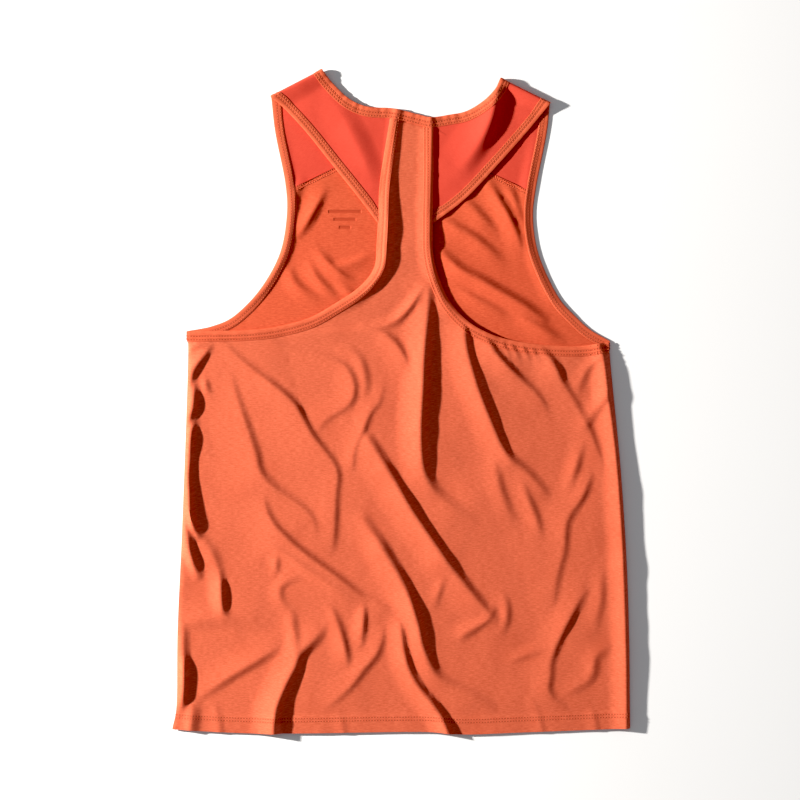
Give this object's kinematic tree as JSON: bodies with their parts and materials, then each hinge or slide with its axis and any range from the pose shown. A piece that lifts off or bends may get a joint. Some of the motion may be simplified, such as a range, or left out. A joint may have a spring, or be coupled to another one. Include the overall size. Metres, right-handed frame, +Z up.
{
  "type": "running singlet, laid flat with its back uppermost",
  "caption": "Racer-back running singlet in heathered knit with smooth woven shoulder yokes and bound edges, laid flat with its back uppermost and lightly creased.",
  "frame": {"origin": "on the surface it lies on, under the middle of the garment's bounding box", "axes": "+X across the garment, +Y from the hem to the shoulders, +Z up through its back"},
  "size_m": [0.52, 0.7559, 0.0123],
  "materials": {
    "knit_heather": "matt heathered polyester knit with fine streaks across",
    "yoke_woven": "smooth fine woven polyester with a soft sheen",
    "binding_knit": "matt folded knit binding, twin stitched"
  },
  "bodies": {
    "root": {"front_panel": "knit_heather", "back_panel": "knit_heather", "yoke_left": "yoke_woven", "yoke_right": "yoke_woven", "neck_binding": "binding_knit", "binding_back_left": "binding_knit", "binding_back_right": "binding_knit", "binding_front_left": "binding_knit", "binding_front_right": "binding_knit"}
  },
  "joints": []
}
